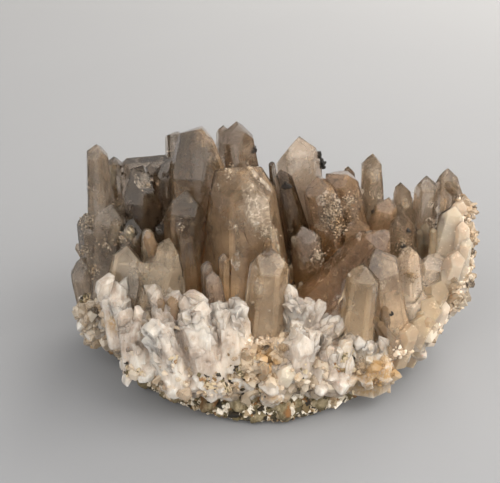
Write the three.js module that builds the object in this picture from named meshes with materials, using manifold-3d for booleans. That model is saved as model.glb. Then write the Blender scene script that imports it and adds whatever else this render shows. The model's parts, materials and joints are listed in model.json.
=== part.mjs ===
// A smoky quartz cluster: smoky crystals standing in a bed of milky quartz, which grew on a slab of rock.
// Millimetres, +Z up. The origin is on the flat underside, below the middle of the cluster.
// +X is the viewer's right and +Y is away from the viewer.
import * as THREE from "three";
import { mergeVertices } from "three/addons/utils/BufferGeometryUtils.js";
import Module from "manifold-3d";

const wasm = await Module();
wasm.setup();

// Driving dimensions
const GAP = 0.35; // between neighbouring crystals, a crystal and the bed, and the bed and the rock
const ROCK_HEIGHT = 8; // top of the host rock above its flat underside
const BED_HEIGHT = 27; // top of the milky bed in the middle, above the underside
const BED_EDGE = 6; // thickness of the bed at its rim
const BED_UNEVEN = 3; // how much the bed's surface rises and falls
const FOOT_DEPTH = 4; // how far a crystal's foot reaches down below the point given for it
const FACE_SLOPE = THREE.MathUtils.degToRad(51.8); // between a pointed face's normal and the long axis
const STEEP_SLOPE = THREE.MathUtils.degToRad(72); // the same for a steep face, which rounds the shoulder
const SIX = 6; // quartz grows as a six-sided prism with six faces at its point
const BIG_FACE = 0.07; // most that a large pointed face stands off the tip, in widths
const SMALL_FACE = [0.1, 0.26]; // how far the small pointed faces stand off it, in widths
const UNEVEN = 0.28; // spread of the prism faces' distances from the axis, in half widths
const TAPER = 0.055; // usual lean of the prism faces, which makes a crystal slimmer towards its point

// Rim of the milky bed: x, y and the height of its lower edge. The right wing is lifted clear of the table.
const BED_RIM = [
  [35, -12, 9],
  [24, -22, 8],
  [10, -29, 8],
  [-5, -32, 8],
  [-23, -28, 8],
  [-40, -15, 8],
  [-49, 2, 8],
  [-49, 17, 8],
  [-38, 29, 8],
  [-14, 37, 8],
  [12, 38, 9],
  [34, 31, 13],
  [52, 18, 17],
  [50, 4, 12],
];
// Outline of the rock's flat underside.
const ROCK_OUTLINE = [
  [31, -11],
  [22, -19],
  [8, -28],
  [-5, -31],
  [-22, -25],
  [-37, -12],
  [-45, 3],
  [-43, 14],
  [-33, 25],
  [-13, 32],
  [11, 31],
  [27, 23],
  [35, 11],
];

// Smoky crystals, listed under the solid that they make: crystals that grew into each other share one.
// Each row: foot and tip (x, y, z), width across the flats, turn about the long axis, taper, how much of the
// point is broken off, and how deep steep faces cut the shoulders below the point, which rounds it.
// Where two solids meet, the one that is listed first keeps its shape.
const SMOKY = {
  main_columns: [
    [[-7.5, -8, 14], [-8.8, -4, 64.6], 19.4, -14, 0.13, 3.2],
    [[-12.5, -17.5, 18], [-13, -15.5, 42.5], 4.4, 10],
    [[-18, 2, 21], [-20.6, 8, 69.4], 14.2, 12, 0.05, 2.2, 1.6],
    [[-22, -4, 18], [-22.5, -6, 55.5], 11.6, 20, TAPER, 0, 1],
    [[-22.5, -10, 22], [-23.5, -9, 48.5], 6.8, 40],
  ],
  left_pair: [
    [[-33.5, 2, 22], [-35.6, 6, 57.4], 10.8, 5, TAPER, 1, 1.4],
    [[-29, 4, 24], [-28, 10, 57.4], 8.8, 35],
    [[-37, -2, 18], [-37.5, 0, 44], 8.6, 10],
    [[-29, -1, 20], [-30, 1, 43], 5.4, 35],
  ],
  left_flank: [
    [[-46.5, 4, 22], [-47.3, 8, 62.2], 7.8, 10],
    [[-44, 0, 18], [-43.5, 4, 46.5], 10.6, 12],
    [[-48, 4, 20], [-50.5, 6, 42.5], 7.6, 30],
    [[-49.5, 1, 15.5], [-52.5, 2, 30.5], 7.6, 5],
  ],
  left_shelf: [
    [[-38.5, 13, 22], [-41, 20, 51.5], 7, 15],
    [[-32, 14, 22], [-33.5, 20.5, 51], 6.8, 20],
    [[-28, 17, 50.5], [-44, 19, 49], 7.4, 0],
    [[-26, 14, 23], [-27, 20, 61.5], 5.6, 20, 0.03, 1.2],
    [[-42, 12, 20], [-43.6, 16, 54.6], 7.4, 5],
  ],
  rear_peaks: [
    [[-4.5, 12, 22], [-10, 18, 64.5], 9.6, 5],
    [[-13, 16, 22], [-13.5, 22, 61.5], 5.4, 25],
  ],
  pale_blade: [
    [[9, 12, 22], [7, 18, 60], 10.8, 38, 0.02],
  ],
  slanted_dark: [
    [[9.5, 2, 26], [2, 4, 57], 6.2, 30],
  ],
  dark_spike: [
    [[3, 8.5, 26], [-0.5, 9, 57], 3.6, 0],
  ],
  tan_prisms: [
    [[20, 2, 22], [11.5, 4, 55], 9.2, 15],
    [[24.5, 6, 24], [17, 10, 55.5], 8.4, 10, 0.02, 2.4],
    [[23.5, -2, 22], [22, 0, 45], 8.4, 30],
    [[27.5, 6, 22], [31.5, 10, 45.5], 7, 20],
  ],
  round_column: [
    [[28.6, 12, 22], [27.6, 20, 53.5], 7, 0],
  ],
  rear_point: [
    [[22.5, 14, 22], [21, 20, 50], 4.6, 15],
  ],
  dark_centre: [
    [[11.5, -4, 19], [7.5, -4, 44], 8.4, 45],
  ],
  kite_faced: [
    [[30.4, -15, 17], [26.4, -11, 41.4], 10.8, 60],
  ],
  leaning_prisms: [
    [[7.5, -14, 19], [30, -4.6, 43], 11, 10],
    [[11, -18, 17], [21.5, -12, 36], 5.2, 0],
  ],
  front_right: [
    [[20.5, -21, 16.5], [23, -16, 40], 8.6, 20],
  ],
  grey_tip: [
    [[34, 2, 22], [34.5, 4, 44], 6.4, 20],
  ],
  right_crest: [
    [[48, 14.5, 22], [49.3, 22, 48], 8.8, 25, TAPER, 0, 1],
    [[43, 14, 20], [43, 20, 46.5], 7.4, 30],
    [[39, 12, 21], [35.5, 18, 46], 5.8, 10],
    [[48.5, 9, 22], [50, 12, 42], 7.6, 15],
  ],
  right_steps: [
    [[37.5, -6.5, 18], [36.5, 0, 36], 7, 12],
    [[43.5, 1.5, 16], [45.5, 8, 30], 9.4, 28],
    [[37, -9.5, 14], [39.5, -4, 25.5], 8.4, 0],
    [[43, -2, 15.5], [46, 3.5, 22], 8.4, 20],
  ],
  front_prism: [
    [[-3.5, -20, 17], [-1, -16, 44.5], 9.6, 30],
    [[0.5, -20, 18], [2, -15, 41.5], 4, 10],
  ],
  front_domes: [
    [[-32.5, -16, 17], [-27.5, -14, 46], 11.6, 22, 0.09, 0, 1.4],
    [[-37, -12, 18], [-38.4, -10, 41.6], 12, 15, 0.1, 0, 1.2],
    [[-33, -8, 19], [-33, -8, 46], 4.8, 0],
  ],
  small_pair: [
    [[-16, -16, 20], [-17.5, -14, 39.5], 4, 0],
    [[-13.5, -20, 20], [-16, -18, 39], 5, 20],
  ],
  back_inner: [
    [[16.5, 18, 20], [16, 23, 43.5], 6, 20],
  ],
  back_left: [
    [[-38.5, 21, 15], [-46, 28, 38], 8, 10],
    [[-42, 20, 12], [-53, 25, 25], 7, 0],
  ],
  back_spire: [
    [[-32, 24, 16], [-36, 33, 41], 7.6, 25],
  ],
  back_stout: [
    [[-23.5, 22, 18], [-26, 31, 44], 8.6, 15],
  ],
  back_sloping: [
    [[-26, 30, 12], [-29, 40.5, 28], 7.4, 5],
  ],
  back_dark: [
    [[-15.5, 24, 18], [-15.5, 33, 41], 7.4, 35],
  ],
  back_low: [
    [[-11, 31, 12], [-12, 43, 28], 8, 20],
  ],
  back_centre: [
    [[-5, 23, 18], [-5.5, 31, 45.5], 9, 5],
  ],
  back_broad: [
    [[8, 24, 18], [8.5, 32, 44], 9, 30],
  ],
  back_outer: [
    [[1, 29.5, 14], [2, 40, 33], 7, 10],
  ],
  back_right: [
    [[18, 24, 18], [20, 33, 40], 7.6, 10],
  ],
  back_right_low: [
    [[14, 31, 13], [16, 42, 28], 7, 25],
  ],
  back_twin_left: [
    [[27, 24, 18], [30, 32, 38], 7, 0],
  ],
  back_twin_right: [
    [[34, 22, 19], [38.5, 30, 37], 6.6, 20],
  ],
  back_end: [
    [[42, 20, 19], [49, 29, 37], 7, 12],
  ],
  back_foot: [
    [[27, 29.5, 15], [31, 39, 27], 7, 5],
  ],
};

// Milky crystals and lumps that are part of the bed.
// Each row: foot, tip, width, turn, and how much of the point is broken off.
const MILKY = [
  [[-25.3, -29.3, 14.7], [-31, -26.5, 30.5], 8.6, 10, 1],
  [[-16, -29, 15.4], [-21.6, -25, 33.4], 8.4, 35, 1.2],
  [[-27, -23.4, 22], [-28.2, -21.5, 35], 7.4, 20, 2],
  [[-17.4, -22, 26.6], [-23.4, -21.5, 33.5], 6.8, 5, 2],
  [[-11.1, -26.2, 20], [-11.9, -23.5, 33], 8.6, 25, 2.5],
  [[-40, -17.2, 21], [-42.3, -14.5, 34.6], 7.2, 15, 0],
  [[-34.2, -24, 16.8], [-36.8, -20.5, 30], 9.6, 0, 2.5],
  [[6.7, -27.6, 18.8], [8, -26.5, 26.4], 6.8, 30, 1.5],
  [[1.3, -29.5, 12.5], [5, -28.5, 18.6], 5, 15, 0.6],
  [[24.8, -21, 9], [25.6, -19, 20.6], 10.8, 15, 3],
  [[15.2, -24.6, 11.5], [16.4, -22.5, 23.4], 9.6, 25, 3],
  [[7.8, -22, 19.7], [18, -19, 24.4], 7, 30, 1.5],
  [[6, -20.3, 22], [3.6, -18, 35], 3.8, 0, 0],
  [[7.8, -20.5, 22], [10.2, -19, 30.4], 3.8, 20, 0],
  [[-7, -27.5, 16], [-7.6, -28.5, 23], 7.6, 10, 1.5],
  [[-2, -28.5, 12], [-3.8, -30, 16.5], 7, 35, 1],
  [[3.5, -26, 18], [2, -27, 25], 6.6, 20, 1],
  [[11, -26.6, 11.5], [11.4, -28.5, 15], 7.2, 5, 1],
  [[-12, -29, 12.5], [-12.6, -31, 17], 6.4, 0, 1],
  [[33, -12, 12.5], [36, -13.4, 17], 6.8, 10, 1],
  [[-47.6, -3.5, 12.6], [-50.6, -2.6, 22.6], 7.6, 10, 2],
  [[-40.6, -12.5, 19], [-42, -11.3, 28.4], 6.4, 20, 1],
  [[51.4, 10, 24], [54.4, 12.4, 37], 5.6, 10, 1],
  [[51.6, 15.6, 26], [53.6, 17.4, 41.4], 5, 20, 1],
  [[49.6, 4, 19], [53.4, 6.4, 28], 6.6, 5, 1.5],
  [[39, -9, 13], [43.4, -8, 17.5], 6, 10, 1],
  [[-46, 12, 15], [-52, 14, 24], 7, 0, 1],
  [[-20, 34, 14], [-21.5, 38.6, 20], 7, 0, 1],
  [[5, 36, 14], [5.6, 41, 20.6], 7.4, 30, 1],
  [[39, 26, 19], [42.6, 30, 26], 6.8, 0, 1],
];

// Colours
const SMOKY_BROWN = 0x7d6c57;
const DARK_SMOKE = 0x5e5142;
const PALE_SMOKE = 0xb3a189;
const MILKY_WHITE = 0xddd6ca;
const ROCK_OLIVE = 0x6f6a58;
const DARK_SOLIDS = [
  "left_pair",
  "left_shelf",
  "slanted_dark",
  "dark_spike",
  "dark_centre",
  "back_dark",
];
const CLEAR_ROUGHNESS = 0.15;
const MILKY_ROUGHNESS = 0.5;
const ROCK_ROUGHNESS = 0.9;
const PALE_SOLIDS = [
  "pale_blade",
  "kite_faced",
  "front_right",
  "right_crest",
  "right_steps",
  "left_flank",
  "back_end",
];

// Small repeatable random numbers.
function randomFrom(seed) {
  let state = (seed * 2654435761) >>> 0;
  return () => {
    state = (state + 0x6d2b79f5) >>> 0;
    let t = Math.imul(state ^ (state >>> 15), 1 | state);
    t = (t + Math.imul(t ^ (t >>> 7), 61 | t)) ^ t;
    return ((t ^ (t >>> 14)) >>> 0) / 4294967296;
  };
}

// Between two limits, by a share from 0 to 1.
const between = ([low, high], share) => low + (high - low) * share;

// Convex solid inside every plane of a list: each face starts as a large square that the other planes clip.
function solidInside(planes) {
  const reach = 300;
  const positions = [];
  for (const plane of planes) {
    const centre = plane.coplanarPoint(new THREE.Vector3());
    const side = new THREE.Vector3(1, 0, 0);
    if (Math.abs(plane.normal.x) > 0.9) side.set(0, 1, 0);
    side.cross(plane.normal).normalize();
    const up = new THREE.Vector3().crossVectors(plane.normal, side);
    let face = [
      [-1, -1],
      [1, -1],
      [1, 1],
      [-1, 1],
    ].map(([a, b]) => centre.clone().addScaledVector(side, a * reach).addScaledVector(up, b * reach));
    for (const other of planes) {
      if (other !== plane) face = clipped(face, other);
    }
    face = face.filter((p, i) => p.distanceTo(face[(i + 1) % face.length]) > 1e-4);
    for (let i = 1; i + 1 < face.length; i++) {
      for (const p of [face[0], face[i], face[i + 1]]) positions.push(p.x, p.y, p.z);
    }
  }
  const geometry = new THREE.BufferGeometry();
  geometry.setAttribute("position", new THREE.Float32BufferAttribute(positions, 3));
  return toSolid(geometry);
}

// The part of a polygon that lies behind a plane.
function clipped(polygon, plane) {
  const kept = [];
  polygon.forEach((p, i) => {
    const q = polygon[(i + 1) % polygon.length];
    const dp = plane.distanceToPoint(p);
    const dq = plane.distanceToPoint(q);
    if (dp <= 0) kept.push(p);
    if (dp < 0 !== dq < 0 && dp !== dq) kept.push(p.clone().lerp(q, dp / (dp - dq)));
  });
  return kept;
}

// A closed three.js geometry as a manifold solid.
function toSolid(geometry) {
  const merged = mergeVertices(geometry, 1e-3);
  const index = merged.index.array;
  const triVerts = [];
  for (let i = 0; i < index.length; i += 3) {
    const [a, b, c] = index.slice(i, i + 3);
    if (a !== b && b !== c && c !== a) triVerts.push(a, b, c);
  }
  return new wasm.Manifold(
    new wasm.Mesh({
      numProp: 3,
      vertProperties: merged.attributes.position.array,
      triVerts: new Uint32Array(triVerts),
    }),
  );
}

// A manifold solid as a flat-shaded three.js geometry.
function toGeometry(solid) {
  const mesh = solid.getMesh();
  const geometry = new THREE.BufferGeometry();
  geometry.setAttribute("position", new THREE.BufferAttribute(mesh.vertProperties, 3));
  geometry.setIndex(new THREE.BufferAttribute(mesh.triVerts, 1));
  const flat = geometry.toNonIndexed();
  flat.computeVertexNormals();
  return flat;
}

// The largest of a solid's separate bodies, without the crumbs that cutting leaves.
function largestBody(solid) {
  const bodies = solid.decompose();
  return bodies.reduce((a, b) => (b.volume() > a.volume() ? b : a));
}

// Planes of one quartz crystal. Its prism faces lie at unequal distances, and three of the faces at its point
// are larger than the other three, which a small crystal may lack. grow moves every face outwards by the gap.
function crystalPlanes(crystal) {
  const { foot, tip, width, turn, taper = TAPER, broken = 0, round = 0 } = crystal;
  const { threeFaced = false, grow = 0 } = crystal;
  const random = randomFrom(Math.round(Math.abs(70 * tip[0] + 10 * tip[2])) + 1);
  const from = new THREE.Vector3(...foot);
  const axis = new THREE.Vector3(...tip).sub(from);
  const length = axis.length() + FOOT_DEPTH;
  axis.normalize();
  from.addScaledVector(axis, -FOOT_DEPTH);
  const upright = new THREE.Vector3(0, 0, 1);
  const turned = new THREE.Quaternion().setFromUnitVectors(upright, axis);
  turned.multiply(new THREE.Quaternion().setFromAxisAngle(upright, THREE.MathUtils.degToRad(turn)));
  const planes = [];
  const add = (normal, point, out) => {
    const n = normal.normalize().applyQuaternion(turned);
    const p = point.applyQuaternion(turned).add(from).addScaledVector(n, out + grow);
    planes.push(new THREE.Plane().setFromNormalAndCoplanarPoint(n, p));
  };
  for (let k = 0; k < SIX; k++) {
    const angle = (k * Math.PI) / 3;
    const around = new THREE.Vector3(Math.cos(angle), Math.sin(angle), 0);
    const reach = (width / 2) * (1 + UNEVEN * (random() - 0.5));
    add(around.clone().setZ(taper), around.clone().multiplyScalar(reach).setZ(length / 2), 0);
    const off = k % 2 ? between(SMALL_FACE, random()) : BIG_FACE * random();
    if (threeFaced && k % 2) continue;
    const pointed = around.clone().multiplyScalar(Math.sin(FACE_SLOPE)).setZ(Math.cos(FACE_SLOPE));
    add(pointed, new THREE.Vector3(0, 0, length), off * width);
    if (round > 0) {
      const shoulder = shoulderHeight(reach, taper, length, off * width);
      const edge = around.clone().multiplyScalar(reach - taper * (shoulder - length / 2)).setZ(shoulder);
      const steep = around.clone().multiplyScalar(Math.sin(STEEP_SLOPE)).setZ(Math.cos(STEEP_SLOPE));
      add(steep, edge, -round);
    }
  }
  if (broken > 0) {
    const lean = 2 * Math.PI * random();
    const fracture = new THREE.Vector3(0.3 * Math.cos(lean), 0.3 * Math.sin(lean), 1);
    add(fracture, new THREE.Vector3(0, 0, length - broken), 0);
  }
  add(new THREE.Vector3(0, 0, -1), new THREE.Vector3(0, 0, 0), 0);
  return planes;
}

// Height along a crystal at which a prism face meets the pointed face above it.
function shoulderHeight(reach, taper, length, off) {
  const [across, along] = [Math.sin(FACE_SLOPE), Math.cos(FACE_SLOPE)];
  const over = off + along * length - across * (reach + (taper * length) / 2);
  return over / (along - across * taper);
}

// Solid through a closed loop of rings, from the underside's middle out to the rim and back over the top.
function solidOfRings(rings, bottom, top) {
  const count = rings[0].length;
  const points = [...rings.flat(), bottom, top];
  const triangles = [];
  const at = (r, s) => r * count + (s % count);
  for (let s = 0; s < count; s++) {
    triangles.push(points.length - 2, at(0, s + 1), at(0, s));
    triangles.push(points.length - 1, at(rings.length - 1, s), at(rings.length - 1, s + 1));
    for (let r = 0; r + 1 < rings.length; r++) {
      triangles.push(at(r, s), at(r, s + 1), at(r + 1, s + 1));
      triangles.push(at(r, s), at(r + 1, s + 1), at(r + 1, s));
    }
  }
  const positions = points.flatMap((p) => p.toArray());
  const geometry = new THREE.BufferGeometry();
  geometry.setAttribute("position", new THREE.Float32BufferAttribute(positions, 3));
  geometry.setIndex(triangles);
  return toSolid(geometry);
}

// Closed smooth outline through a few points, as evenly spaced samples that run anticlockwise from above.
function outline(points, count) {
  const curve = new THREE.CatmullRomCurve3(
    points.map(([x, y, z = 0]) => new THREE.Vector3(x, y, z)),
    true,
  );
  return curve.getSpacedPoints(count).slice(0, count).reverse();
}

const bedMiddle = new THREE.Vector3(-1, 3, 0);

// Point of the bed's surface on the way from its middle (share 0) to its rim (share 1).
function bedSurface(share, rim) {
  const low = rim.z + BED_EDGE;
  const point = bedMiddle.clone().lerp(rim, share);
  return point.setZ(low + (BED_HEIGHT - low) * (1 - share * share) ** 0.6);
}

// The bed without its crystals. grow moves its surface outwards and up.
function bedMound(grow) {
  const random = randomFrom(11);
  const rim = outline(BED_RIM, 22);
  const underside = ROCK_HEIGHT + GAP - grow;
  const wider = (p) => p.clone().addScaledVector(p.clone().sub(bedMiddle).setZ(0).normalize(), grow);
  const ring = (share, height) => rim.map((p) => wider(bedMiddle.clone().lerp(p, share)).setZ(height(p)));
  const rings = [
    ring(0.6, () => underside),
    ring(0.86, (p) => underside + 0.4 * Math.max(0, p.z - underside)),
    ring(0.97, (p) => Math.max(underside, p.z - grow)),
    ring(1, (p) => p.z + 0.5 * BED_EDGE),
  ];
  const raised = (p) => p.setZ(p.z + BED_UNEVEN * (random() - 0.5) + grow);
  for (const share of [0.97, 0.84, 0.6, 0.3]) {
    rings.push(rim.map((p) => raised(wider(bedSurface(share, p)))));
  }
  return solidOfRings(rings, bedMiddle.clone().setZ(underside), bedMiddle.clone().setZ(BED_HEIGHT + grow));
}

// The slab that the bed grew on, flat underneath.
function hostRock() {
  const edge = outline(ROCK_OUTLINE, 26);
  const random = randomFrom(5);
  const middle = new THREE.Vector3(-4, 0, 0);
  const ring = (share, height, rough) =>
    edge.map((p) => middle.clone().lerp(p, share + rough * (random() - 0.5)).setZ(height));
  const rings = [
    ring(0.5, 0, 0),
    ring(0.96, 0, 0.02),
    ring(1.03, 2.2, 0.05),
    ring(1, 5.6, 0.05),
    ring(0.93, ROCK_HEIGHT, 0.02),
  ];
  return solidOfRings(rings, middle.clone(), middle.clone().setZ(ROCK_HEIGHT));
}

const group = new THREE.Group();

function addPart(name, solid, colour, roughness) {
  const material = new THREE.MeshStandardMaterial({ color: colour, roughness, metalness: 0 });
  const mesh = new THREE.Mesh(toGeometry(solid), material);
  mesh.name = name;
  group.add(mesh);
}

function smokeOf(name) {
  if (DARK_SOLIDS.includes(name)) return DARK_SMOKE;
  return PALE_SOLIDS.includes(name) ? PALE_SMOKE : SMOKY_BROWN;
}

// The crystals of each smoky solid, and the same crystals grown by the gap, which cut whatever comes later.
function smokySolids() {
  const solids = new Map();
  for (const [name, rows] of Object.entries(SMOKY)) {
    const shapes = rows.map(smokyShape);
    const crystals = shapes.map((shape) => solidInside(crystalPlanes(shape)));
    const grown = shapes.map((shape) => solidInside(crystalPlanes({ ...shape, grow: GAP })));
    solids.set(name, { crystals, grown });
  }
  return solids;
}

function smokyShape([foot, tip, width, turn, taper, broken, round]) {
  return { foot, tip, width, turn, taper, broken, round };
}

function milkyShape([foot, tip, width, turn, broken]) {
  return { foot, tip, width, turn, broken, threeFaced: true };
}

const { union } = wasm.Manifold;
let taken = bedMound(GAP);
const allGrown = [];
for (const [name, { crystals, grown }] of smokySolids()) {
  addPart(name, largestBody(union(crystals).subtract(taken)), smokeOf(name), CLEAR_ROUGHNESS);
  taken = union([taken, ...grown]);
  allGrown.push(...grown);
}

const milky = MILKY.map(milkyShape);
const lumps = milky.map((shape) => solidInside(crystalPlanes(shape)));
const grownLumps = milky.map((shape) => solidInside(crystalPlanes({ ...shape, grow: GAP })));
const onTheBed = union(lumps).subtract(union(allGrown));
addPart("quartz_bed", largestBody(bedMound(0).add(onTheBed)), MILKY_WHITE, MILKY_ROUGHNESS);
addPart("host_rock", largestBody(hostRock().subtract(union(grownLumps))), ROCK_OLIVE, ROCK_ROUGHNESS);

export default group;
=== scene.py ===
import json
import math
import random

import bmesh
import bpy
import numpy as np
from mathutils import Matrix, Quaternion, Vector
from mathutils.bvhtree import BVHTree


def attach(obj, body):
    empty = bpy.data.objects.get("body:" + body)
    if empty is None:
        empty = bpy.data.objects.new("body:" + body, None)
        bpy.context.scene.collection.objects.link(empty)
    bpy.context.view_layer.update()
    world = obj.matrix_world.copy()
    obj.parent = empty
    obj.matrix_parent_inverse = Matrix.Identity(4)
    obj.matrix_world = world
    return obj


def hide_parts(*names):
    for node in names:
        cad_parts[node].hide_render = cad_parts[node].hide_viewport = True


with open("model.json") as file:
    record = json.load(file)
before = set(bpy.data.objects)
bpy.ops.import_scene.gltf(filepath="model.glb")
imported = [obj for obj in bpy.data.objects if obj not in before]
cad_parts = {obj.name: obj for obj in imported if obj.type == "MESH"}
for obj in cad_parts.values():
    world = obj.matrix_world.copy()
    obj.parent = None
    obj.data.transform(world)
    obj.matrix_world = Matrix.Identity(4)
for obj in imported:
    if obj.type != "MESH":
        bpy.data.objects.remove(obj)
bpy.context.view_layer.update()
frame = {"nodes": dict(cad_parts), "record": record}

MM = 0.001
nodes = frame["nodes"]
slot_of = {part["node"]: part["material_slot"] for part in frame["record"]["subparts"]}
scene = bpy.context.scene
UP = Vector((0, 0, 1))

# The photograph's view, in millimetres and pixels.
PHOTO_WIDTH, PHOTO_HEIGHT = 500, 483
AIM = Vector((-6.3, 0, 37.5))
ELEVATION = math.radians(30)
DISTANCE = 355
LENS = 95
SENSOR = 36
AHEAD = Vector((0, math.cos(ELEVATION), -math.sin(ELEVATION)))
ABOVE = Vector((0, math.sin(ELEVATION), math.cos(ELEVATION)))
EYE = AIM - DISTANCE * AHEAD

BED_NODE, ROCK_NODE = "quartz_bed", "host_rock"
BED_TOP = 27  # height of the bed's middle
BED_DROP = 13  # how much lower its rim is
BED_REACH = (50, 34)  # from its middle to its rim, along X and Y

# The bed's smooth milky crystals: foot, tip, width, turn, how much of the point is broken off.
MILKY = [
    ((-25.3, -29.3, 14.7), (-31, -26.5, 30.5), 8.6, 10, 1),
    ((-16, -29, 15.4), (-21.6, -25, 33.4), 8.4, 35, 1.2),
    ((-27, -23.4, 22), (-28.2, -21.5, 35), 7.4, 20, 2),
    ((-17.4, -22, 26.6), (-23.4, -21.5, 33.5), 6.8, 5, 2),
    ((-11.1, -26.2, 20), (-11.9, -23.5, 33), 8.6, 25, 2.5),
    ((-40, -17.2, 21), (-42.3, -14.5, 34.6), 7.2, 15, 0),
    ((-34.2, -24, 16.8), (-36.8, -20.5, 30), 9.6, 0, 2.5),
    ((6.7, -27.6, 18.8), (8, -26.5, 26.4), 6.8, 30, 1.5),
    ((1.3, -29.5, 12.5), (5, -28.5, 18.6), 5, 15, 0.6),
    ((24.8, -21, 9), (25.6, -19, 20.6), 10.8, 15, 3),
    ((15.2, -24.6, 11.5), (16.4, -22.5, 23.4), 9.6, 25, 3),
    ((7.8, -22, 19.7), (18, -19, 24.4), 7, 30, 1.5),
    ((6, -20.3, 22), (3.6, -18, 35), 3.8, 0, 0),
    ((7.8, -20.5, 22), (10.2, -19, 30.4), 3.8, 20, 0),
]

# Places on the photograph, in its pixels. Sizes are in millimetres.
PIXEL = DISTANCE * SENSOR / LENS / PHOTO_WIDTH  # size of a pixel at the cluster's middle

# Frosted and cracked places, a few of them painted highlights: u, v, radius, strength.
FROST_AND_HIGHLIGHTS = [
    (144, 178, 2.5, 0.4), (121, 238, 3, 0.4), (295, 165, 7, 0.3), (255, 198, 4.2, 0.6),
    (262, 222, 4.6, 0.65), (247, 184, 3, 0.45), (250, 212, 4, 0.4), (266, 205, 3, 0.55),
    (232, 172, 3.6, 0.35), (249, 167, 1.6, 0.9), (255, 174, 1.8, 0.9), (262, 181, 2, 0.9),
    (268, 187, 1.8, 0.8), (280, 262, 2.5, 0.5), (140, 270, 4, 0.4), (112, 280, 3, 0.4), (95, 215, 6, 0.2),
    (90, 260, 6, 0.2), (258, 288, 2.6, 0.6), (373, 175, 2.4, 0.5), (249, 152, 2.6, 0.4),
    (406, 205, 1.8, 0.4), (430, 262, 5, 0.3), (121, 205, 3.2, 0.9), (150, 274, 5, 0.35), (172, 262, 4, 0.3),
    (341, 205, 3, 0.5), (229, 222, 2, 0.3), (322, 226, 3, 0.4),
]
# Cloudy places inside the smoky quartz, some of them painted highlights, with painted shade where the
# strength is below 0: u, v, radius, strength.
CLOUDS_AND_PAINTED_LIGHT = [
    (222, 235, 8, 0.25), (224, 270, 8, 0.25), (240, 300, 7, 0.3), (415, 300, 8, 0.2), (190, 215, 8, -0.7),
    (200, 245, 8, -0.6), (190, 195, 6, -0.6), (178, 140, 7, -0.8), (206, 150, 3.6, 0.1), (259, 287, 3, 0.5),
    (372, 265, 4.5, -1), (388, 262, 4, 0.6), (300, 240, 3, -0.4), (182, 158, 8, -0.7), (196, 172, 9, -0.8),
    (392, 312, 6, 0.5), (248, 153, 3.2, 0.6), (373, 175, 2.6, 0.7), (406, 205, 2.4, 0.6),
    (441, 206, 2.4, 0.8), (230, 150, 3, -0.3),
]
# Yellow stains of the bed: u, v, radius, strength.
STAINS = [
    (115, 324, 3.5, 0.8), (258, 350, 13, 0.4), (345, 345, 7, 0.3), (386, 368, 6, 0.6), (272, 395, 3, 0.6),
    (374, 372, 8, 0.6), (368, 392, 7, 0.7),
]
# Rusty places of the rock: u, v, radius, strength.
RUST = [
    (95, 350, 6, 0.7), (108, 362, 5, 0.7), (205, 402, 4, 0.5), (240, 372, 4, 0.5),
]
# Patches of sparkling druse on crystals: u, v, radius in pixels, how many crystals.
SPARKLES = [
    (333, 214, 13, 300), (338, 228, 8, 120), (350, 202, 8, 100), (318, 256, 8, 160), (403, 247, 9, 160),
    (121, 238, 6, 90), (266, 234, 8, 120), (148, 185, 5, 50), (410, 276, 8, 120), (250, 168, 5, 40),
    (230, 172, 8, 50), (272, 232, 6, 80), (118, 205, 4, 60), (183, 227, 3, 26), (88, 222, 9, 110),
    (84, 250, 8, 90), (92, 272, 8, 90), (105, 245, 6, 50), (253, 303, 2, 16), (270, 310, 2, 8),
    (140, 272, 5, 40),
]
# Crumbly places with larger grains: u, v, radius in pixels, how many grains.
CRUMBS = [
    (464, 206, 7, 80), (468, 222, 8, 120), (471, 240, 8, 120), (469, 258, 8, 120), (462, 275, 8, 110),
    (455, 292, 7, 90), (448, 308, 7, 90), (441, 322, 7, 90), (430, 336, 7, 80), (452, 215, 5, 30),
    (455, 250, 6, 60), (384, 368, 8, 60), (250, 342, 5, 26), (262, 343, 5, 26), (272, 341, 4, 16),
    (404, 352, 8, 50), (395, 380, 8, 40),
]
# Gritty places low on the bed: u, v, radius in pixels, how many grains.
GRIT = [
    (240, 374, 14, 150), (262, 388, 12, 90), (225, 390, 12, 90), (320, 374, 12, 110), (345, 354, 9, 50),
    (95, 350, 12, 120), (86, 300, 5, 30), (205, 385, 10, 60), (300, 388, 12, 90), (350, 376, 12, 60),
    (172, 362, 5, 12), (130, 372, 10, 50),
]
# Black grains: u, v, size.
SPECKS = [
    (258, 149, 1.1), (319, 156, 1.3), (321, 162, 1.4), (322, 167, 1.1), (286, 185, 1.5), (373, 211, 0.8),
    (409, 230, 1.1), (403, 245, 1), (405, 247, 0.7), (392, 314, 0.7),
]
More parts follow.
